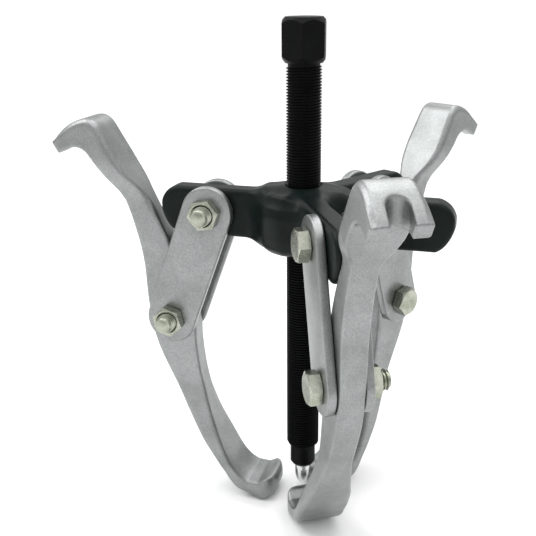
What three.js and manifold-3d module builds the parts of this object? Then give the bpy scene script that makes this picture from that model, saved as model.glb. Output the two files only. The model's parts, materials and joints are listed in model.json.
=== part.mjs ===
// Three-jaw gear puller with a four-arm yoke, link straps and double-ended jaws.
// Millimetres, +Z up along the forcing screw, origin on the flat land of the centre point.
import * as THREE from "three";
import { mergeVertices } from "three/addons/utils/BufferGeometryUtils.js";
import Module from "manifold-3d";

const wasm = await Module();
wasm.setup();

// ---- driving dimensions ----------------------------------------------------------------

const GAP = 0.3; // between pieces that touch on the real tool
const BOLT_PLANE = 171.7; // height of the four yoke bolts above the point

// Forcing screw, 3/4 in - 16 UNF, with a 7/8 in hexagon.
const THREAD_R = 9.525;
const THREAD_LOW = 28;
const THREAD_HIGH = 252.7;
const NECK_R = 8.6;
const HEX_AF = 22.2;
const HEX_LOW = 256.3;
const HEX_TOP = 277;
const HEX_TURN = 40; // degrees
const DOG_R = 7.45;
const DOG_LOW = 14.3;
const POINT_R = 4.6;
const POINT_TOP = 14;
const POINT_LAND_R = 1.5;
const PIN_R = 2.5;
const PIN_TOP = 22;

// Yoke: a hub with four flat arms, three of them carrying jaws.
const ARM_ANGLES = [180, 300, 60];
const SPARE_ANGLE = 0;
const ARM_THICK = 13.8;
const ARM_END = 83;
const ARM_HIGH = 13.2;
const ARM_LOW = -14.6;
const ARM_CORNER = 9.5;
const ARM_ROUND = 2.4;
const HUB_R = 25;
const HUB_HIGH = 13.8;
const HUB_LOW = -18.6;
const BOLT_CIRCLE = 53.3;

// Straps and their 7/16 in bolts.
const STRAP_LENGTH = 70.7; // between bolt centres
const STRAP_R = 14.8;
const STRAP_THICK = 5;
const BOLT_R = 5.55;
const NUT_AF = 15.9;
const HEAD_THICK = 6.6;
const NUT_THICK = 6.2;
const BOLT_SHOWS = 5.2; // of its end past the nut

// Jaw, drawn about its bolt: x away from the screw, y up.
const JAW_THICK = 13.8;
const HEAD_WIDE = 27.6;
const FOOT_WIDE = 29;
const TOE_TIP = -63.2; // the lower hook's reach, in from the bolt
const NOTCH_WIDE = 10.4;
const NOTCH_IN = 57.2; // the slot's round end, out from the bolt

// How far each link leans out, and each jaw's own lean, in degrees, as the tool stands.
const STANCE = [
  { link: 20.3, jaw: 0.2 },
  { link: 18.4, jaw: 1.1 },
  { link: 17.6, jaw: 1.5 },
];

// ---- materials -------------------------------------------------------------------------

const look = (color, roughness, metalness) =>
  new THREE.MeshStandardMaterial({ color, roughness, metalness });
const BLACK_PAINT = look(0x1a1f1c, 0.45, 0.2);
const BLACK_OXIDE = look(0x17191a, 0.5, 0.7);
const BRIGHT_STEEL = look(0xb8bcbe, 0.3, 0.9);
const FORGED = look(0xa3a9a8, 0.55, 0.7);
const ZINC = look(0xc2c6b4, 0.35, 0.85);

// ---- helpers ---------------------------------------------------------------------------

const radians = THREE.MathUtils.degToRad;
const point = (x, y) => new THREE.Vector2(x, y);

/** A closed three.js geometry as a solid that can be added, cut or intersected. */
function solid(geometry) {
  const bare = geometry.clone();
  bare.deleteAttribute("normal");
  bare.deleteAttribute("uv");
  const merged = mergeVertices(bare, 1e-4);
  return new wasm.Manifold(
    new wasm.Mesh({
      numProp: 3,
      vertProperties: merged.attributes.position.array,
      triVerts: new Uint32Array(merged.index.array),
    }),
  );
}

/** A named mesh from a solid. */
function mesh(name, body, material) {
  const made = body.getMesh();
  const geometry = new THREE.BufferGeometry();
  geometry.setAttribute("position", new THREE.BufferAttribute(made.vertProperties, 3));
  geometry.setIndex(new THREE.BufferAttribute(made.triVerts, 1));
  const part = new THREE.Mesh(geometry, material);
  part.name = name;
  return part;
}

/** A profile of [radius, height] pairs turned about Z. */
function turned(profile, sides) {
  const points = profile.map(([r, z]) => point(r, z));
  return new THREE.LatheGeometry(points, sides).rotateX(Math.PI / 2);
}

/** An outline in x and z given a thickness across Y, centred on y, with rounded edges. */
function plate(shape, thick, y = 0, round = 0, steps = 1, curve = 12) {
  return new THREE.ExtrudeGeometry(shape, {
    depth: thick - 2 * round,
    bevelEnabled: round > 0,
    bevelThickness: round,
    bevelSize: round,
    bevelOffset: -round,
    bevelSegments: steps,
    curveSegments: curve,
  })
    .translate(0, 0, round - thick / 2)
    .rotateX(Math.PI / 2)
    .translate(0, y, 0);
}

/** A hexagon about Z with both rims chamfered to a circle. */
function hexagon(flats, low, high, corner, chamfer) {
  const across = flats / Math.cos(radians(30)) / 2;
  const inner = flats / 2 - 0.3;
  const prism = new THREE.CylinderGeometry(across, across, high - low, 6)
    .rotateX(Math.PI / 2)
    .rotateZ(radians(corner + 90))
    .translate(0, 0, (low + high) / 2);
  const rims = turned(
    [
      [0, low],
      [inner, low],
      [across + 0.1, low + chamfer],
      [across + 0.1, high - chamfer],
      [inner, high],
      [0, high],
    ],
    18,
  );
  return solid(prism).intersect(solid(rims));
}

/** A rod about Z. */
const rod = (radius, low, high, sides = 20) =>
  solid(
    new THREE.CylinderGeometry(radius, radius, high - low, sides)
      .rotateX(Math.PI / 2)
      .translate(0, 0, (low + high) / 2),
  );

/** A rod across Y, for a bolt hole at the given x and z. */
const crossRod = (radius, length, x, z) =>
  solid(
    new THREE.CylinderGeometry(radius, radius, length, 20).translate(x, 0, z),
  );

// ---- forcing screw and centre point ----------------------------------------------------

function makeScrew() {
  const shank = turned(
    [
      [0, PIN_TOP + 1],
      [PIN_R + GAP, PIN_TOP + 1],
      [PIN_R + GAP, DOG_LOW],
      [DOG_R - 2.2, DOG_LOW],
      [DOG_R, DOG_LOW + 2.2],
      [DOG_R, THREAD_LOW],
      [THREAD_R - 1.4, THREAD_LOW],
      [THREAD_R, THREAD_LOW + 1.6],
      [THREAD_R, THREAD_HIGH - 1],
      [NECK_R, THREAD_HIGH],
      [NECK_R, HEX_LOW + 1],
      [0, HEX_LOW + 1],
    ],
    40,
  );
  return solid(shank).add(hexagon(HEX_AF, HEX_LOW, HEX_TOP, HEX_TURN, 2.4));
}

function makePoint() {
  const nose = new THREE.EllipseCurve(0, 8.5, POINT_R, 8.5, -1.24, 0)
    .getPoints(7)
    .map((p) => [p.x, p.y]);
  nose[0] = [POINT_LAND_R, 0];
  return solid(
    turned(
      [[0, 0], ...nose, [POINT_R, POINT_TOP], [PIN_R, POINT_TOP], [PIN_R, PIN_TOP], [0, PIN_TOP]],
      24,
    ),
  );
}

// ---- yoke ------------------------------------------------------------------------------

function armOutline() {
  const c = ARM_CORNER;
  const s = new THREE.Shape();
  s.moveTo(0, ARM_LOW);
  s.lineTo(ARM_END - c, ARM_LOW);
  s.quadraticCurveTo(ARM_END - 3, ARM_LOW + 3, ARM_END, ARM_LOW + c + 4);
  s.lineTo(ARM_END, ARM_HIGH - c);
  s.quadraticCurveTo(ARM_END - 2, ARM_HIGH - 2, ARM_END - c, ARM_HIGH);
  s.lineTo(0, ARM_HIGH);
  s.closePath();
  return s;
}

function makeYoke() {
  const hub = turned(
    [
      [0, HUB_LOW],
      [HUB_R - 9, HUB_LOW],
      [HUB_R - 3.5, HUB_LOW + 1.6],
      [HUB_R - 0.8, HUB_LOW + 4.2],
      [HUB_R, HUB_LOW + 8],
      [HUB_R, HUB_HIGH - 4],
      [HUB_R - 1.4, HUB_HIGH - 1.2],
      [HUB_R - 5, HUB_HIGH],
      [0, HUB_HIGH],
    ],
    40,
  );
  let yoke = solid(hub);
  for (const angle of [...ARM_ANGLES, SPARE_ANGLE]) {
    const arm = plate(armOutline(), ARM_THICK, 0, ARM_ROUND, 2, 5);
    const hole = crossRod(BOLT_R + GAP, 20, BOLT_CIRCLE, 0);
    yoke = yoke.add(solid(arm).subtract(hole).rotate([0, 0, angle]));
  }
  return yoke.subtract(rod(THREAD_R + GAP, -30, 30, 40));
}

// ---- one arm's straps, bolts and nuts --------------------------------------------------

function makeStrap(side) {
  const s = new THREE.Shape();
  s.absarc(0, 0, STRAP_R, 0, Math.PI, false);
  s.absarc(0, -STRAP_LENGTH, STRAP_R, Math.PI, 2 * Math.PI, false);
  s.closePath();
  const y = side * (ARM_THICK / 2 + GAP + STRAP_THICK / 2);
  const body = solid(plate(s, STRAP_THICK, y, 0.7, 1, 10));
  return body
    .subtract(crossRod(BOLT_R + GAP, 60, 0, 0))
    .subtract(crossRod(BOLT_R + GAP, 60, 0, -STRAP_LENGTH));
}

const FACE = ARM_THICK / 2 + 2 * GAP + STRAP_THICK; // where heads and nuts bear

/** A bolt across Y: its head at -Y, its end past the nut at +Y. */
function makeBolt(corner) {
  const end = FACE + NUT_THICK + BOLT_SHOWS;
  const shank = turned(
    [
      [0, -FACE - 1],
      [BOLT_R, -FACE - 1],
      [BOLT_R, end - 1.2],
      [BOLT_R - 1.2, end],
      [0, end],
    ],
    20,
  );
  return hexagon(NUT_AF, -FACE - HEAD_THICK, -FACE, corner, 1.2)
    .add(solid(shank))
    .rotate([-90, 0, 0]);
}

function makeNut(corner) {
  return hexagon(NUT_AF, FACE, FACE + NUT_THICK, corner, 1.2)
    .subtract(rod(BOLT_R + GAP, 0, 40))
    .rotate([-90, 0, 0]);
}

// ---- jaw -------------------------------------------------------------------------------

/** The jaw's side view: an upper hook that opens outwards and a lower one that opens in. */
function jawOutline() {
  const s = new THREE.Shape();
  s.moveTo(-13.2, -8);
  // inner edge, down to the lower hook's seat
  s.splineThru([
    point(-13.4, -20),
    point(-16, -40),
    point(-21.5, -61),
    point(-28.5, -79),
    point(-33.5, -90),
  ]);
  s.quadraticCurveTo(-38.5, -100, -46, -102.3);
  // the toe, with a raised lip at its tip
  s.lineTo(-52.4, -102.6);
  s.lineTo(-57, -100.2);
  s.quadraticCurveTo(-62.6, -98.6, -63.6, -104.5);
  s.quadraticCurveTo(-63.4, -110, -58.5, -113);
  s.quadraticCurveTo(-55.5, -114.5, -52, -114.6);
  s.lineTo(-47.5, -114.3);
  s.quadraticCurveTo(-41.5, -112.6, -38, -108);
  s.lineTo(-32, -99.5);
  // outer edge, up past the bolt
  s.splineThru([
    point(-25.2, -90),
    point(-17, -78.5),
    point(-8.2, -63.5),
    point(2.3, -42),
    point(12.5, -18),
    point(16.6, 6),
    point(18.1, 32.2),
    point(22, 52),
    point(27.8, 70),
    point(34.5, 81),
  ]);
  // under the upper hook, and its tip
  s.lineTo(40, 88.5);
  s.lineTo(46, 96.5);
  s.quadraticCurveTo(50, 101.2, 56, 99.8);
  s.lineTo(64.3, 96.2);
  s.lineTo(68.2, 102.6);
  // over its top
  s.quadraticCurveTo(57, 113, 47.5, 113.8);
  s.quadraticCurveTo(43.4, 113.6, 41.6, 110);
  // inner edge, back down to the bolt
  s.lineTo(33, 95.5);
  s.splineThru([
    point(27.4, 86.4),
    point(14.8, 72),
    point(6.4, 57.7),
    point(0.2, 44),
    point(-6.5, 24),
    point(-11.8, 8),
  ]);
  s.closePath();
  return s;
}

/** The jaw seen along its hooks: y is the width, z the height. */
function jawWidths() {
  const t = JAW_THICK / 2;
  const h = HEAD_WIDE / 2;
  const f = FOOT_WIDE / 2;
  const half = [
    [f - 1.5, -116],
    [f, -112],
    [f, -94],
    [f - 2.3, -80],
    [t + 2.1, -65],
    [t, -50],
    [t, 72],
    [t + 3.1, 80],
    [h - 0.6, 88],
    [h, 98],
    [h - 1.2, 108],
    [h - 2.4, 117],
  ];
  const s = new THREE.Shape();
  half.forEach(([y, z], i) => (i ? s.lineTo(y, z) : s.moveTo(y, z)));
  half.reverse().forEach(([y, z]) => s.lineTo(-y, z));
  s.closePath();
  return s;
}

/** The jaw seen from above, to round the corners of its toe. */
function jawPlan() {
  const wide = FOOT_WIDE / 2 + 1;
  const s = new THREE.Shape();
  s.moveTo(TOE_TIP, 6.5);
  s.lineTo(TOE_TIP, -6.5);
  s.quadraticCurveTo(TOE_TIP, -13.5, TOE_TIP + 10, -wide);
  s.lineTo(80, -wide);
  s.lineTo(80, wide);
  s.lineTo(TOE_TIP + 10, wide);
  s.quadraticCurveTo(TOE_TIP, 13.5, TOE_TIP, 6.5);
  return s;
}

function makeJaw() {
  const side = solid(plate(jawOutline(), 40, 0, 0, 1, 4));
  const plan = new THREE.ExtrudeGeometry(jawPlan(), {
    depth: 300,
    bevelEnabled: false,
    curveSegments: 4,
  }).translate(0, 0, -150);
  const widths = new THREE.ExtrudeGeometry(jawWidths(), {
    depth: 200,
    bevelEnabled: false,
  })
    .translate(0, 0, -100)
    .rotateX(Math.PI / 2)
    .rotateZ(Math.PI / 2);
  const slot = new THREE.Shape();
  slot.absarc(NOTCH_IN + NOTCH_WIDE / 2, 0, NOTCH_WIDE / 2, Math.PI / 2, (3 * Math.PI) / 2, false);
  slot.lineTo(90, -NOTCH_WIDE / 2);
  slot.lineTo(90, NOTCH_WIDE / 2);
  slot.closePath();
  const notch = new THREE.ExtrudeGeometry(slot, {
    depth: 60,
    bevelEnabled: false,
    curveSegments: 8,
  }).translate(0, 0, 80);
  return side
    .intersect(solid(widths))
    .intersect(solid(plan))
    .subtract(solid(notch))
    .subtract(crossRod(BOLT_R + GAP, 40, 0, 0));
}

// ---- assembly --------------------------------------------------------------------------

const puller = new THREE.Group();
puller.add(mesh("forcing_screw", makeScrew(), BLACK_OXIDE));
puller.add(mesh("centre_point", makePoint(), BRIGHT_STEEL));

const yoke = mesh("yoke", makeYoke(), BLACK_PAINT);
yoke.position.z = BOLT_PLANE;
puller.add(yoke);

ARM_ANGLES.forEach((angle, i) => {
  const n = i + 1;
  const arm = new THREE.Group();
  arm.position.z = BOLT_PLANE;
  arm.rotation.z = radians(angle);
  puller.add(arm);

  const link = new THREE.Group();
  link.position.x = BOLT_CIRCLE;
  link.rotation.y = radians(-STANCE[i].link);
  arm.add(link);
  link.add(mesh(`strap_a_${n}`, makeStrap(1), FORGED));
  link.add(mesh(`strap_b_${n}`, makeStrap(-1), FORGED));
  link.add(mesh(`upper_bolt_${n}`, makeBolt(75), ZINC));
  link.add(mesh(`upper_nut_${n}`, makeNut(90), ZINC));

  const lower = new THREE.Group();
  lower.position.z = -STRAP_LENGTH;
  link.add(lower);
  lower.add(mesh(`lower_bolt_${n}`, makeBolt(68), ZINC));
  lower.add(mesh(`lower_nut_${n}`, makeNut(65), ZINC));

  const jaw = mesh(`jaw_${n}`, makeJaw(), FORGED);
  jaw.rotation.y = radians(STANCE[i].link + STANCE[i].jaw);
  lower.add(jaw);
});

export default puller;
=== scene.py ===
"""Looks of a gear puller: forged jaws and straps, a painted yoke, a black threaded screw and zinc bolts.

Shapes are worked out in millimetres in each part's own frame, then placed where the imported
model's joints are.
"""

import json
import math

import bmesh
import bpy
import numpy as np
from mathutils import Matrix, Vector


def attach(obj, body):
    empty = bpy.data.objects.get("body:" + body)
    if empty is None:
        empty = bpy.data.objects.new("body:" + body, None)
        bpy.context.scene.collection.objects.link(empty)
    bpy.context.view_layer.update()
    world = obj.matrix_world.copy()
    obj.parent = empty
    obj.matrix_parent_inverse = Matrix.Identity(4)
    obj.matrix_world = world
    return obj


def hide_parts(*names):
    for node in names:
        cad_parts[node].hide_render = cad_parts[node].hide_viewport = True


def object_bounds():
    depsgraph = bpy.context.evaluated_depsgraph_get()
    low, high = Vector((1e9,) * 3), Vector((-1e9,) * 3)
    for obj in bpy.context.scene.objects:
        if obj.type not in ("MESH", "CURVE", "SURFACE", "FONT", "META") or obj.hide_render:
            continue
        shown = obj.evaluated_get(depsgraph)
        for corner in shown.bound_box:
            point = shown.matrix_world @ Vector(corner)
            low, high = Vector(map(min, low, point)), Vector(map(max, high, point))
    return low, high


MM = 0.001
ARMS = (1, 2, 3)

# Forcing screw, 3/4 in - 16 UNF.
THREAD_R, THREAD_PITCH = 9.525, 25.4 / 16
THREAD_LOW, THREAD_HIGH = 28.0, 252.7
NECK_R = 8.55
HEX_FLATS, HEX_LOW, HEX_TOP, HEX_TURN = 22.2, 256.3, 277.0, 40.0
DOG_R, DOG_LOW = 7.45, 14.3
POINT_R, POINT_TOP = 4.6, 14.4

# Yoke, about the crossing of the screw's axis and the plane of its bolts.
ARM_HALF, ARM_END, ARM_HIGH, ARM_LOW = 6.9, 83.0, 13.2, -14.6
ARM_ROUND, ARM_FILLET, HOLE_ROUND, BORE_ROUND = 3.0, 10.0, 0.4, 0.6
HUB_R, HUB_HIGH, HUB_LOW = 25.0, 9.0, -18.6
YOKE_STEP = 0.9  # spacing of the samples that its surface is made from

# Straps, bolts (7/16 in - 14) and nuts, across the local Y axis.
STRAP_R, STRAP_THICK, STRAP_ROUND = 14.8, 5.0, 1.1
BOLT_R, BOLT_PITCH = 5.55, 25.4 / 14
FLATS, HEAD_THICK, NUT_THICK, BOLT_SHOWS = 15.9, 6.6, 6.2, 5.2
GAP = 0.3
FACE = ARM_HALF + 2 * GAP + STRAP_THICK
# Where a corner of each hexagon points, in degrees about its bolt.
CORNERS = {"upper_bolt": 75, "upper_nut": 90, "lower_bolt": 68, "lower_nut": 65}

# Jaw, about its bolt: x away from the screw, z up, y across.
JAW_HALF, HEAD_HALF, FOOT_HALF = 6.9, 13.8, 14.5
TOE_TIP, TOE_ROUND = -63.4, 12.5
FOOT_LOW, HEEL_ROUND = -114.6, 11.5
SLOT_HALF, SLOT_CENTRE, SLOT_LOW, SLOT_ROUND = 5.2, 62.4, 60, 0.5
HEAD_ROUND, SHANK_ROUND, TOE_EDGE = 1.0, 1.8, 1.2
CROWN_SLOPE, CROWN_SHOULDER = 0.8, 2.4
JAW_STEP = 0.8
FAR_INSIDE = -50  # a distance for where a cut doesn't apply
# Half width across Y at each height: a wide foot, a plain shank and a wide head.
JAW_WIDTHS = [
    (-116, 13.2),
    (-112, FOOT_HALF),
    (-94, FOOT_HALF),
    (-80, 12.9),
    (-65, 9.6),
    (-48, JAW_HALF),
    (73, JAW_HALF),
    (76.5, 8.9),
    (81, 11.4),
    (86, 13.1),
    (92, HEAD_HALF),
    (104, 13.2),
    (117, 12.4),
]

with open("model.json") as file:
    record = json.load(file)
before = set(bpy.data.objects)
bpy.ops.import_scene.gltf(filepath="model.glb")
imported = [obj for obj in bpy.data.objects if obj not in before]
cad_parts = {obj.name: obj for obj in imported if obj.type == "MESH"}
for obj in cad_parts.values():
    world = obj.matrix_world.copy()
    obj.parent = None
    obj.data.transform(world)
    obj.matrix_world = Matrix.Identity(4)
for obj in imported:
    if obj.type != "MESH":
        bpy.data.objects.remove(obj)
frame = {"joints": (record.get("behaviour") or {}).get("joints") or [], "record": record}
CAD_LOW, CAD_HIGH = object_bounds()


# ---- meshes ----------------------------------------------------------------------------


def make(name, points, faces, sharp=35.0):
    """An object from points in millimetres, smooth except where faces meet at more than sharp degrees."""
    mesh = bpy.data.meshes.new(name)
    corners = [tuple(float(c) * MM for c in p) for p in points]
    mesh.from_pydata(corners, [], [tuple(map(int, f)) for f in faces])
    bm = bmesh.new()
    bm.from_mesh(mesh)
    bmesh.ops.remove_doubles(bm, verts=bm.verts, dist=1e-6)
    bmesh.ops.dissolve_degenerate(bm, edges=bm.edges, dist=1e-7)
    bmesh.ops.recalc_face_normals(bm, faces=bm.faces)
    bm.to_mesh(mesh)
    bm.free()
    mesh.shade_smooth()
    mesh.set_sharp_from_angle(angle=math.radians(sharp))
    made = bpy.data.objects.new(name, mesh)
    bpy.context.scene.collection.objects.link(made)
    return made


def join(shells):
    """Points and faces of several closed shells together."""
    points, faces = [], []
    for p, f in shells:
        faces += [tuple(i + len(points) for i in g) for g in f]
        points += [tuple(q) for q in p]
    return points, faces


def rings(loops, close_low=True, close_high=True):
    """A skin through loops of equal length, closed at both ends."""
    n = len(loops[0])
    points = [p for loop in loops for p in loop]
    faces = [
        (k * n + i, k * n + (i + 1) % n, (k + 1) * n + (i + 1) % n, (k + 1) * n + i)
        for k in range(len(loops) - 1)
        for i in range(n)
    ]
    for closed, loop, base in ((close_low, loops[0], 0), (close_high, loops[-1], (len(loops) - 1) * n)):
        if closed:
            centre = len(points)
            points.append(tuple(np.mean(np.array(loop, float), axis=0)))
            faces += [(base + i, base + (i + 1) % n, centre) for i in range(n)]
    return points, faces


def circle(radius, z, sides, turn=0.0):
    angles = turn + 2 * math.pi * np.arange(sides) / sides
    return [(radius * math.cos(a), radius * math.sin(a), z) for a in angles]


def turned(profile, sides=48):
    """A profile of (radius, height) pairs turned about Z."""
    return rings([circle(r, z, sides) for r, z in profile])


def hexagon(flats, low, high, corner, slope_low, slope_high, face=0.94, bore=0.0, per_side=10):
    """A hexagon about Z whose rims are cut by cones, which leaves arcs on its flats."""
    sides = 6 * per_side
    turn = math.radians(corner)
    angles = turn + 2 * math.pi * np.arange(sides) / sides
    off = (np.arange(sides) % per_side) / per_side * math.pi / 3 - math.pi / 6
    outer = flats / 2 / np.cos(off)
    inner = flats / 2 * face
    rise = outer - inner

    def loop(radius, z):
        return [(r * math.cos(a), r * math.sin(a), h) for r, a, h in zip(radius, angles, z)]

    flat = np.ones(sides)
    loops = [
        loop(flat * inner, flat * low),
        loop(outer, low + slope_low * rise),
        loop(outer, high - slope_high * rise),
        loop(flat * inner, flat * high),
    ]
    if not bore:
        return rings(loops)
    mouth = flat * (bore + 0.9)
    loops = [
        loop(flat * bore, flat * (low + 0.9)),
        loop(mouth, flat * low),
        *loops,
        loop(mouth, flat * high),
        loop(flat * bore, flat * (high - 0.9)),
    ]
    points, faces = rings(loops, False, False)
    last = (len(loops) - 1) * sides
    faces += [(last + i, last + (i + 1) % sides, (i + 1) % sides, i) for i in range(sides)]
    return points, faces


def thread(radius, pitch, low, high, chamfer_low, chamfer_high, sides=40):
    """A threaded rod about Z with a real right-hand helix and chamfered ends."""
    depth = 0.6134 * pitch
    section = [(-1 / 16, radius), (1 / 16, radius), (3 / 8, radius - depth), (5 / 8, radius - depth)]
    turns = math.ceil((high - low) / pitch) + 2
    steps = turns * sides
    k = np.arange(steps + sides + 1)
    angle = 2 * math.pi * k / sides
    points = np.zeros((len(k), len(section), 3))
    for j, (share, r) in enumerate(section):
        z = np.clip(low - pitch + pitch * (k / sides + share), low, high)
        limit = np.minimum(
            radius - chamfer_low + (z - low), radius - chamfer_high + (high - z)
        )
        reach = np.minimum(r, limit)
        points[:, j] = np.stack([reach * np.cos(angle), reach * np.sin(angle), z], 1)
    m = len(section)
    faces = []
    for a in range(steps):
        for j in range(m):
            b = a + (sides if j == m - 1 else 0)
            q = (j + 1) % m
            faces.append((a * m + j, (a + 1) * m + j, (b + 1) * m + q, b * m + q))
    points = [tuple(p) for p in points.reshape(-1, 3)]
    for z, r in ((low, radius - chamfer_low), (high, radius - chamfer_high)):
        centre = len(points)
        points.append((0, 0, z))
        ring = circle(r, z, sides)
        first = len(points)
        points += ring
        faces += [(first + i, first + (i + 1) % sides, centre) for i in range(sides)]
    return points, faces


# ---- shapes from distances ---------------------------------------------------------------


def surface_net(field, low, step):
    """Points and quads of the surface where a sampled field, negative inside, crosses zero."""
    shape = np.array(field.shape)
    cells = tuple(shape - 1)
    total = np.zeros((np.prod(cells), 3))
    count = np.zeros(np.prod(cells))
    quads = []
    for axis in range(3):
        u, v = (axis + 1) % 3, (axis + 2) % 3
        a = np.take(field, range(shape[axis] - 1), axis)
        b = np.take(field, range(1, shape[axis]), axis)
        at = np.argwhere((a < 0) != (b < 0))
        keep = (at[:, u] > 0) & (at[:, v] > 0) & (at[:, u] < shape[u] - 1) & (at[:, v] < shape[v] - 1)
        at = at[keep]
        fa, fb = a[tuple(at.T)], b[tuple(at.T)]
        where = at.astype(float)
        where[:, axis] += fa / (fa - fb)
        around = []
        for du, dv in ((0, 0), (1, 0), (1, 1), (0, 1)):
            cell = at.copy()
            cell[:, u] -= du
            cell[:, v] -= dv
            index = np.ravel_multi_index(tuple(cell.T), cells)
            for c in range(3):
                total[:, c] += np.bincount(index, where[:, c], len(count))
            count += np.bincount(index, minlength=len(count))
            around.append(index)
        quad = np.stack(around, 1)
        quad[fa < 0] = quad[fa < 0][:, ::-1]
        quads.append(quad)
    used = count > 0
    number = np.cumsum(used) - 1
    points = total[used] / count[used][:, None] * step + np.array(low)
    return points, number[np.concatenate(quads)]


def grid(low, high, step):
    """Sample places between two corners, as arrays that spread over x, y and z."""
    lines = [np.arange(a, b + step, step) for a, b in zip(low, high)]
    return np.meshgrid(*lines, indexing="ij", sparse=True)


def outline_distance(outline, x, y):
    """Distance to a closed outline, negative inside it."""
    a = np.array(outline, float)
    b = np.roll(a, -1, 0)
    nearest = np.full(np.broadcast(x, y).shape, 1e9)
    inside = np.zeros(nearest.shape, bool)
    for (ax, ay), (bx, by) in zip(a, b):
        ex, ey = bx - ax, by - ay
        t = np.clip(((x - ax) * ex + (y - ay) * ey) / (ex * ex + ey * ey), 0, 1)
        nearest = np.minimum(nearest, np.hypot(x - ax - t * ex, y - ay - t * ey))
        crosses = (ay > y) != (by > y)
        if ay != by:
            inside ^= crosses & (x < ax + (y - ay) / (by - ay) * ex)
    return np.where(inside, -nearest, nearest)


def both(a, b, r):
    """Where a and b overlap, with a rounded edge of radius r."""
    p, q = a + r, b + r
    return np.minimum(np.maximum(p, q), 0) + np.hypot(np.maximum(p, 0), np.maximum(q, 0)) - r


def either(a, b, r):
    """a and b together, with a fillet of about r where they meet."""
    h = np.maximum(r - np.abs(a - b), 0) / r
    return np.minimum(a, b) - h * h * r / 4


def spline(points, steps=6):
    """A smooth curve through points."""
    p = [points[0], *points, points[-1]]
    curve = []
    for i in range(1, len(p) - 2):
        a, b, c, d = (np.array(q, float) for q in p[i - 1 : i + 3])
        for k in range(steps):
            t = k / steps
            curve.append(0.5 * (2 * b + (c - a) * t + (2 * a - 5 * b + 4 * c - d) * t * t
                                + (3 * b - a - 3 * c + d) * t ** 3))
    return [*curve, np.array(points[-1], float)]


def bend(a, control, b, steps=8):
    """A quadratic curve from a to b, without its first point."""
    a, control, b = (np.array(q, float) for q in (a, control, b))
    return [
        (1 - t) ** 2 * a + 2 * t * (1 - t) * control + t * t * b
        for t in (k / steps for k in range(1, steps + 1))
    ]


# ---- the jaw -------------------------------------------------------------------------------


def jaw_outline():
    """The jaw seen along its bolt: down its inner edge, round the lower hook, up its outer edge and back."""
    inner_low = spline([(-13.2, -8), (-13.4, -20), (-16, -40), (-21.5, -61), (-28.5, -79), (-33.5, -90)])
    outer_low = [(-32, -99.5), (-25.2, -90), (-17, -78.5), (-8.2, -63.5), (2.3, -42), (12.5, -18)]
    outer_high = [(16.6, 6), (18.1, 32.2), (22, 52), (27.8, 70), (34.5, 81)]
    outer = spline(outer_low + outer_high)
    inner_high = [(33, 95.5), (27.4, 86.4), (14.8, 72), (6.4, 57.7), (0.2, 44), (-6.5, 24), (-11.8, 8)]
    return [
        *inner_low,
        *bend((-33.5, -90), (-38.5, -100), (-46, -102.3)),
        (-52.4, -102.6),
        (-57.5, -99.7),
        *bend((-57.5, -99.7), (-62.8, -97.6), (-63.6, -104.5)),
        *bend((-63.6, -104.5), (-63.4, -110), (-58.5, -113)),
        *bend((-58.5, -113), (-55.5, -114.5), (-52, -114.6), 3),
        *bend((-52, -114.6), (-40, -113.6), (-32, -99.5), 12)[:-1],
        *outer,
        (40, 88.5),
        (46, 96.5),
        *bend((46, 96.5), (50, 101.2), (56, 99.8)),
        (64.3, 96.2),
        (68.2, 102.6),
        *bend((68.2, 102.6), (57, 113), (47.5, 113.8)),
        *bend((47.5, 113.8), (43.4, 113.6), (41.6, 110)),
        *spline(inner_high),
    ]


def crown_outline():
    """The head's outline along its middle, up to 3 mm above the edges of its back and top."""
    back = spline([(6.4, 57.7), (13.6, 72.8), (25.0, 88.2), (30.4, 97.0), (38.2, 110.6)])
    return [
        *back,
        *bend((38.2, 110.6), (41.6, 116.6), (47, 116.4)),
        *bend((47, 116.4), (58.5, 115.2), (68.2, 102.8)),
        (64.3, 97),
        *bend((64.3, 97), (50, 104.5), (46, 97.5)),
        (40, 90),
        (27, 71),
        (17, 56),
    ]


def jaw_half_width(z):
    """Half width across Y at a height, with the corners of JAW_WIDTHS smoothed out."""
    reach = 7
    heights = np.arange(-120, 121)
    weights = np.hanning(2 * reach + 1)
    widths = np.pad(np.interp(heights, *zip(*JAW_WIDTHS)), reach, mode="edge")
    return np.interp(z, heights, np.convolve(widths, weights / weights.sum(), "valid"))


def jaw_mesh():
    low, high = (-66, -16, -118), (71, 16, 119)
    x, y, z = grid(low, high, JAW_STEP)
    flat = x[:, 0, :], z[:, 0, :]
    side = outline_distance(jaw_outline(), *flat)[:, None, :]
    width = jaw_half_width(z)
    across = (np.abs(y) - width) * 0.92  # the flanks flare, so they are a little nearer than measured along Y
    # the head's crowned back and top, which fall away towards its edges
    crown = outline_distance(crown_outline(), *flat)[:, None, :]
    chamfer = (crown + CROWN_SLOPE * (np.abs(y) - width + CROWN_SHOULDER)) * 0.78
    side = np.minimum(side, np.maximum(crown, chamfer))
    body = np.where(z > 70, both(side, across, HEAD_ROUND), both(side, across, SHANK_ROUND))
    # the heel's rounded lower corners, which the toe doesn't have
    heel = both(np.abs(y) - FOOT_HALF - 0.4, FOOT_LOW - 0.4 - z, HEEL_ROUND)
    share = np.clip((x + 64) / 22, 0, 1)
    heel = heel * share - 3 * (1 - share)
    body = both(body, np.where(z < -60, heel, FAR_INSIDE), TOE_EDGE)
    # the toe's rounded corners, seen from above
    toe = both(TOE_TIP - x, np.abs(y) - FOOT_HALF - 1, TOE_ROUND)
    body = both(body, np.where(x < 0, toe, FAR_INSIDE), TOE_EDGE)
    # the slot in the upper hook
    slot = np.where(x < SLOT_CENTRE, np.hypot(x - SLOT_CENTRE, y), np.abs(y) + 0 * x) - SLOT_HALF
    body = both(body, np.where(z > SLOT_LOW, -slot, FAR_INSIDE), SLOT_ROUND)
    return surface_net(body, low, JAW_STEP)


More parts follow.
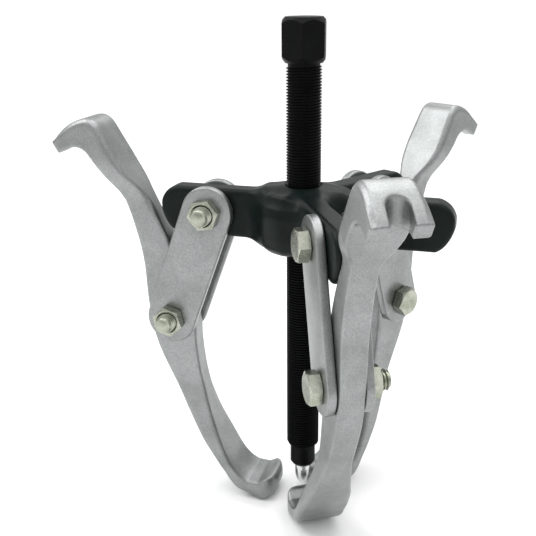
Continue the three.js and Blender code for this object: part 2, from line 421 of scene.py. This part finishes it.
def along_arm(x, y, angle):
    """Distances along and across an arm that points at an angle."""
    return (
        x * math.cos(angle) + y * math.sin(angle),
        -x * math.sin(angle) + y * math.cos(angle),
    )


def yoke_mesh(angles):
    low, high = (-86, -77, -21), (86, 77, 18)
    x, y, z = grid(low, high, YOKE_STEP)
    r = np.hypot(x, y)
    hub_line = [
        (0, HUB_LOW),
        (15, HUB_LOW),
        (20.5, HUB_LOW + 1.4),
        (24, HUB_LOW + 4.6),
        (HUB_R, HUB_LOW + 9),
        (HUB_R, HUB_HIGH - 6),
        (23.4, HUB_HIGH - 2.2),
        (19.6, HUB_HIGH),
        (0, HUB_HIGH),
    ]
    mirrored = [*hub_line, *[(-a, b) for a, b in hub_line[-2:0:-1]]]
    body = outline_distance(mirrored, r, z)
    c = 9.5  # how far the arm's end is rounded, seen from the side
    arm_line = [
        (-20, ARM_LOW),
        (ARM_END - c, ARM_LOW),
        *bend((ARM_END - c, ARM_LOW), (ARM_END - 3, ARM_LOW + 3), (ARM_END, ARM_LOW + c + 4)),
        (ARM_END, ARM_HIGH - c),
        *bend((ARM_END, ARM_HIGH - c), (ARM_END - 2, ARM_HIGH - 2), (ARM_END - c, ARM_HIGH)),
        (-20, ARM_HIGH),
    ]
    for angle in angles:
        u, v = along_arm(x, y, angle)
        arm = both(outline_distance(arm_line, u, z), np.abs(v) - ARM_HALF, ARM_ROUND)
        body = either(body, arm, ARM_FILLET)
    for angle in angles:
        u, v = along_arm(x, y, angle)
        hole = np.where(u > 0, np.hypot(u - BOLT_CIRCLE, z) - BOLT_R - GAP, -FAR_INSIDE) + 0 * v
        body = both(body, -hole, HOLE_ROUND)
    body = both(body, THREAD_R + GAP / 2 - r + 0 * z, BORE_ROUND)
    return surface_net(body, low, YOKE_STEP)


# ---- where things are --------------------------------------------------------------------

JOINTS = {j["name"]: j for j in frame["joints"]}
MOUNTS = {m["name"]: m for m in frame["record"]["mounts"]}
UPPER = {n: Vector(JOINTS[f"link_swing_{n}"]["pos_m"]) for n in ARMS}
LOWER = {n: Vector(JOINTS[f"jaw_swing_{n}"]["pos_m"]) for n in ARMS}
BOLT_PLANE = UPPER[1].z
BOLT_CIRCLE = math.hypot(UPPER[1].x, UPPER[1].y) / MM
STRAP_LENGTH = (LOWER[1] - UPPER[1]).length / MM
SEAT_TILT = math.atan2(-0.3, 6.4)  # of the lower hook's seat, in the jaw's own frame


def outward(n):
    return Vector((UPPER[n].x, UPPER[n].y, 0)).normalized()


def place(origin, u, lean=0.0):
    """The frame at origin with x along u turned by lean about the local Y axis, and y across."""
    z = Vector((0, 0, 1))
    v = z.cross(u)
    x = u * math.cos(lean) - z * math.sin(lean)
    up = u * math.sin(lean) + z * math.cos(lean)
    m = Matrix((x, v, up)).transposed().to_4x4()
    m.translation = origin
    return m


def link_lean(n):
    d = LOWER[n] - UPPER[n]
    return -math.atan2(d.dot(outward(n)), -d.z)


def jaw_lean(n):
    axis = Vector(MOUNTS[f"inner_seat_{n}"]["axis"])
    return math.atan2(axis.dot(outward(n)), axis.z) - SEAT_TILT


# ---- materials -----------------------------------------------------------------------------


def material(name):
    made = bpy.data.materials.new(name)
    made.use_nodes = True
    nodes, links = made.node_tree.nodes, made.node_tree.links
    return made, nodes, links, nodes["Principled BSDF"]


def noise(nodes, links, scale, detail=3.0, rough=0.55, stretch=None):
    """Noise in the object's own metres: scale is features per metre."""
    coords = nodes.new("ShaderNodeTexCoord")
    node = nodes.new("ShaderNodeTexNoise")
    node.inputs["Scale"].default_value = scale
    node.inputs["Detail"].default_value = detail
    node.inputs["Roughness"].default_value = rough
    source = coords.outputs["Object"]
    if stretch:
        mapping = nodes.new("ShaderNodeMapping")
        mapping.inputs["Scale"].default_value = stretch
        links.new(source, mapping.inputs["Vector"])
        source = mapping.outputs["Vector"]
    links.new(source, node.inputs["Vector"])
    return node.outputs["Fac"]


def ramp(nodes, links, source, stops):
    node = nodes.new("ShaderNodeValToRGB")
    elements = node.color_ramp.elements
    while len(elements) < len(stops):
        elements.new(0.5)
    for element, (at, colour) in zip(elements, stops):
        element.position = at
        element.color = (*colour, 1) if len(colour) == 3 else colour
    links.new(source, node.inputs["Fac"])
    return node.outputs["Color"]


def spread(nodes, links, source, low, high):
    node = nodes.new("ShaderNodeMapRange")
    node.inputs["To Min"].default_value = low
    node.inputs["To Max"].default_value = high
    links.new(source, node.inputs["Value"])
    return node.outputs["Result"]


def bump(nodes, links, layers):
    """Bumps of (height source, strength, distance in mm), one on another."""
    normal = None
    for source, strength, distance in layers:
        node = nodes.new("ShaderNodeBump")
        node.inputs["Strength"].default_value = strength
        node.inputs["Distance"].default_value = distance * MM
        links.new(source, node.inputs["Height"])
        if normal:
            links.new(normal, node.inputs["Normal"])
        normal = node.outputs["Normal"]
    return normal


def multiply(nodes, links, first, second):
    """Two colours multiplied."""
    node = nodes.new("ShaderNodeMix")
    node.data_type = "RGBA"
    node.blend_type = "MULTIPLY"
    node.inputs["Factor"].default_value = 1.0
    links.new(first, node.inputs[6])
    links.new(second, node.inputs[7])
    return node.outputs[2]


def forged_look():
    """Satin grey over forged steel: a fine sprayed grain on softly uneven forging."""
    made, nodes, links, shader = material("forged_steel")
    broad = noise(nodes, links, 60, 2)
    fine = noise(nodes, links, 1100, 3, 0.65)
    colour = ramp(nodes, links, fine, [(0.3, (0.24, 0.253, 0.257)), (0.7, (0.355, 0.364, 0.358))])
    shade = ramp(nodes, links, broad, [(0.32, (0.80, 0.81, 0.80)), (0.62, (1.0, 1.0, 1.0))])
    links.new(multiply(nodes, links, colour, shade), shader.inputs["Base Color"])
    links.new(spread(nodes, links, fine, 0.30, 0.42), shader.inputs["Roughness"])
    links.new(bump(nodes, links, [(broad, 0.22, 0.8), (fine, 0.4, 0.12)]), shader.inputs["Normal"])
    shader.inputs["Metallic"].default_value = 0.85
    return made


def zinc_look():
    """Bright zinc with a pale yellow-green passivation."""
    made, nodes, links, shader = material("zinc")
    tint = noise(nodes, links, 140, 2)
    fine = noise(nodes, links, 1800, 2)
    colour = ramp(nodes, links, tint, [(0.35, (0.26, 0.28, 0.22)), (0.65, (0.42, 0.43, 0.37))])
    links.new(colour, shader.inputs["Base Color"])
    links.new(spread(nodes, links, fine, 0.2, 0.34), shader.inputs["Roughness"])
    links.new(bump(nodes, links, [(fine, 0.05, 0.05)]), shader.inputs["Normal"])
    shader.inputs["Metallic"].default_value = 0.95
    return made


def paint_look():
    """Satin black paint with a green cast over a cast surface."""
    made, nodes, links, shader = material("black_paint")
    broad = noise(nodes, links, 90, 3)
    fine = noise(nodes, links, 700, 2)
    colour = ramp(nodes, links, broad, [(0.3, (0.0022, 0.0048, 0.0042)), (0.7, (0.005, 0.0095, 0.0085))])
    links.new(colour, shader.inputs["Base Color"])
    links.new(spread(nodes, links, fine, 0.3, 0.42), shader.inputs["Roughness"])
    links.new(bump(nodes, links, [(broad, 0.15, 0.5), (fine, 0.12, 0.1)]), shader.inputs["Normal"])
    shader.inputs["Specular IOR Level"].default_value = 0.13
    return made


def oxide_look():
    """Black oxide with a trace of oil."""
    made, nodes, links, shader = material("black_oxide")
    broad = noise(nodes, links, 120, 3)
    fine = noise(nodes, links, 1200, 2)
    colour = ramp(nodes, links, broad, [(0.3, (0.0012, 0.0014, 0.0014)), (0.7, (0.003, 0.0034, 0.0032))])
    links.new(colour, shader.inputs["Base Color"])
    links.new(spread(nodes, links, fine, 0.34, 0.5), shader.inputs["Roughness"])
    links.new(bump(nodes, links, [(fine, 0.12, 0.1)]), shader.inputs["Normal"])
    shader.inputs["Specular IOR Level"].default_value = 0.08
    return made


def steel_look():
    """Turned and polished steel, with its tool's rings."""
    made, nodes, links, shader = material("bright_steel")
    turning = noise(nodes, links, 300, 2, 0.5, (0.05, 0.05, 8))
    fine = noise(nodes, links, 900, 2)
    colour = ramp(nodes, links, fine, [(0.3, (0.60, 0.62, 0.62)), (0.7, (0.72, 0.73, 0.72))])
    links.new(colour, shader.inputs["Base Color"])
    links.new(spread(nodes, links, turning, 0.16, 0.3), shader.inputs["Roughness"])
    links.new(bump(nodes, links, [(turning, 0.1, 0.1)]), shader.inputs["Normal"])
    shader.inputs["Metallic"].default_value = 1.0
    return made


LOOKS = {
    "forged_steel": forged_look(),
    "zinc": zinc_look(),
    "black_paint": paint_look(),
    "black_oxide": oxide_look(),
    "bright_steel": steel_look(),
}


def settle(piece, where, body, node, slot):
    """Puts a piece in place, on its body, in the CAD node's stead and in its material."""
    piece.matrix_world = where
    piece.data.materials.append(LOOKS[slot])
    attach(piece, body)
    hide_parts(node)
    return piece


# ---- pieces ----------------------------------------------------------------------------------


def upright(shell):
    """A shell about Z laid across Y, its +Z end towards +Y."""
    points, faces = shell
    return [(x, z, -y) for x, y, z in points], faces


def build_screw():
    head = hexagon(HEX_FLATS, HEX_LOW - 2.4, HEX_TOP, HEX_TURN, 1.25, 1.1, face=0.9)
    neck = turned([(NECK_R, THREAD_HIGH - 1.5), (NECK_R, HEX_LOW + 2)], 64)
    rod = thread(THREAD_R, THREAD_PITCH, THREAD_LOW, THREAD_HIGH, 1.6, 1.0)
    dog_line = [
        (DOG_R - 2.4, DOG_LOW),
        (DOG_R - 1.1, DOG_LOW + 0.5),
        (DOG_R, DOG_LOW + 2.2),
        (DOG_R, THREAD_LOW + 1),
    ]
    dog = turned(dog_line, 64)
    screw = make("forcing_screw_threaded", *join([rod, neck, head, dog]), sharp=30)
    settle(screw, Matrix.Identity(4), "screw", "forcing_screw", "black_oxide")


def build_point():
    nose = [(POINT_R * math.sin(a), 8.6 - 8.6 * math.cos(a)) for a in np.linspace(0.33, math.pi / 2, 14)]
    nose[0] = (1.5, 0.0)
    profile = [*nose, (POINT_R, POINT_TOP - 0.6), (POINT_R - 0.5, POINT_TOP)]
    point = make("centre_point_nose", *turned(profile, 48), sharp=40)
    settle(point, Matrix.Identity(4), "point", "centre_point", "bright_steel")


def build_yoke():
    angles = [math.atan2(outward(n).y, outward(n).x) for n in ARMS] + [0.0]
    yoke = make("yoke_casting", *yoke_mesh(angles), sharp=80)
    settle(yoke, Matrix.Translation((0, 0, BOLT_PLANE)), "yoke", "yoke", "black_paint")


def strap_shell():
    """A strap with rounded ends and edges, hanging from its upper bolt."""
    half = STRAP_THICK / 2

    def loop(y, inset):
        r = STRAP_R - inset
        top = [(r * math.cos(a), y, r * math.sin(a)) for a in np.linspace(0, math.pi, 41)]
        turn = np.linspace(math.pi, 2 * math.pi, 41)
        low = [(r * math.cos(a), y, r * math.sin(a) - STRAP_LENGTH) for a in turn]
        return top + low

    arc = np.linspace(0, math.pi / 2, 6)
    lower = [(-half + STRAP_ROUND * (1 - math.sin(a)), STRAP_ROUND * (1 - math.cos(a))) for a in arc[::-1]]
    upper = [(-y, inset) for y, inset in lower[::-1]]
    return rings([loop(y, inset) for y, inset in lower + upper])


def build_straps(n):
    for key, side in (("a", 1), ("b", -1)):
        points, faces = strap_shell()
        strap = make(f"strap_{key}_{n}_plate", points, faces, sharp=30)
        strap.data.transform(Matrix.Translation((0, side * (ARM_HALF + GAP + STRAP_THICK / 2) * MM, 0)))
        where = place(UPPER[n], outward(n), link_lean(n))
        settle(strap, where, f"link_{n}", f"strap_{key}_{n}", "forged_steel")


def build_bolt(n, level, at):
    end = FACE + NUT_THICK + BOLT_SHOWS
    corner = CORNERS[f"{level}_bolt"]
    head = hexagon(FLATS, -FACE - HEAD_THICK, -FACE - 0.4, corner, 0.58, 0.0, face=0.95)
    washer = turned([(FLATS / 2 - 0.4, -FACE - 0.6), (FLATS / 2 - 0.4, -FACE)], 48)
    shank = turned([(BOLT_R, -FACE - 1), (BOLT_R, FACE + 1)], 40)
    tip = thread(BOLT_R, BOLT_PITCH, FACE + 0.5, end, 0.4, 1.3, 32)
    dome_line = [(BOLT_R - 1.3, end - 0.3), (BOLT_R - 2.4, end + 0.1), (1.2, end + 0.4), (0.3, end + 0.45)]
    dome = turned(dome_line, 32)
    where = place(at, outward(n), link_lean(n))
    bolt = make(f"{level}_bolt_{n}_threaded", *upright(join([head, washer, shank, tip, dome])), sharp=30)
    settle(bolt, where, f"link_{n}", f"{level}_bolt_{n}", "zinc")
    corner = CORNERS[f"{level}_nut"]
    shell = hexagon(FLATS, FACE, FACE + NUT_THICK, corner, 0.58, 0.58, face=0.94, bore=BOLT_R + 0.1)
    nut = make(f"{level}_nut_{n}_hexagon", *upright(shell), sharp=30)
    settle(nut, where, f"link_{n}", f"{level}_nut_{n}", "zinc")


def build_jaws():
    first = make("jaw_1_forging", *jaw_mesh(), sharp=80)
    for n in ARMS:
        jaw = first
        if n > 1:
            jaw = bpy.data.objects.new(f"jaw_{n}_forging", first.data.copy())
            jaw.data.materials.clear()
            bpy.context.scene.collection.objects.link(jaw)
        settle(jaw, place(LOWER[n], outward(n), jaw_lean(n)), f"jaw_{n}", f"jaw_{n}", "forged_steel")


build_screw()
build_point()
build_yoke()
build_jaws()
for n in ARMS:
    build_straps(n)
    build_bolt(n, "upper", UPPER[n])
    build_bolt(n, "lower", LOWER[n])


# ---- floor, light and camera -----------------------------------------------------------------


def build_floor():
    made, nodes, links, shader = material("floor")
    grain = noise(nodes, links, 40, 2)
    colour = ramp(nodes, links, grain, [(0.3, (0.93, 0.93, 0.93)), (0.7, (0.95, 0.95, 0.95))])
    links.new(colour, shader.inputs["Base Color"])
    shader.inputs["Roughness"].default_value = 0.9
    z = CAD_LOW.z - GAP * MM
    reach = 60
    corners = [(-reach, -reach, z), (reach, -reach, z), (reach, reach, z), (-reach, reach, z)]
    mesh = bpy.data.meshes.new("floor")
    mesh.from_pydata(corners, [], [(0, 1, 2, 3)])
    floor = bpy.data.objects.new("floor", mesh)
    bpy.context.scene.collection.objects.link(floor)
    mesh.materials.append(made)


def area_light(name, at, target, size, power):
    data = bpy.data.lights.new(name, "AREA")
    data.shape = "RECTANGLE"
    data.size, data.size_y = size
    data.energy = power
    light = bpy.data.objects.new(name, data)
    light.location = at
    light.rotation_mode = "QUATERNION"
    light.rotation_quaternion = (Vector(target) - Vector(at)).to_track_quat("-Z", "Y")
    bpy.context.scene.collection.objects.link(light)


SKY_LOW, SKY_TOP = 0.5, 1.42  # brightness of the studio at its horizon and overhead


def build_light():
    world = bpy.data.worlds.new("studio")
    world.use_nodes = True
    nodes, links = world.node_tree.nodes, world.node_tree.links
    direction = nodes.new("ShaderNodeTexCoord")
    parts = nodes.new("ShaderNodeSeparateXYZ")
    height = nodes.new("ShaderNodeMapRange")
    height.inputs["To Min"].default_value = SKY_LOW
    height.inputs["To Max"].default_value = SKY_TOP
    links.new(direction.outputs["Generated"], parts.inputs["Vector"])
    links.new(parts.outputs["Z"], height.inputs["Value"])
    links.new(height.outputs["Result"], nodes["Background"].inputs["Strength"])
    nodes["Background"].inputs["Color"].default_value = (1, 1, 1, 1)
    bpy.context.scene.world = world
    bpy.context.scene.view_settings.view_transform = "Standard"
    area_light("overhead", (0.1, -0.1, 1.1), (0, 0, 0.1), (0.9, 0.9), 3)
    area_light("left", (-0.9, -0.1, 1.15), (0.05, 0.1, 0.2), (0.8, 0.8), 6)
    area_light("back", (0.1, 0.7, 1.1), (0.05, -0.1, 0.25), (0.6, 0.6), 3)


CAMERA_AT = (0.1148, -0.4363, 0.2978)
CAMERA_TOWARDS = (-0.2805, 0.9016, -0.3294)
CAMERA_ROLL, CAMERA_LENS = -0.011, 56.65  # radians; millimetres on a sensor 36 mm wide


def build_camera():
    forward = Vector(CAMERA_TOWARDS).normalized()
    right = forward.cross(Vector((0, 0, 1))).normalized()
    up = right.cross(forward)
    r = right * math.cos(CAMERA_ROLL) + up * math.sin(CAMERA_ROLL)
    u = up * math.cos(CAMERA_ROLL) - right * math.sin(CAMERA_ROLL)
    data = bpy.data.cameras.new("camera")
    data.sensor_width = 36
    data.lens = CAMERA_LENS
    data.clip_start, data.clip_end = 0.01, 200
    camera = bpy.data.objects.new("camera", data)
    camera.matrix_world = Matrix((r, u, -forward)).transposed().to_4x4()
    camera.location = CAMERA_AT
    bpy.context.scene.collection.objects.link(camera)
    bpy.context.scene.camera = camera


build_floor()
build_light()
build_camera()
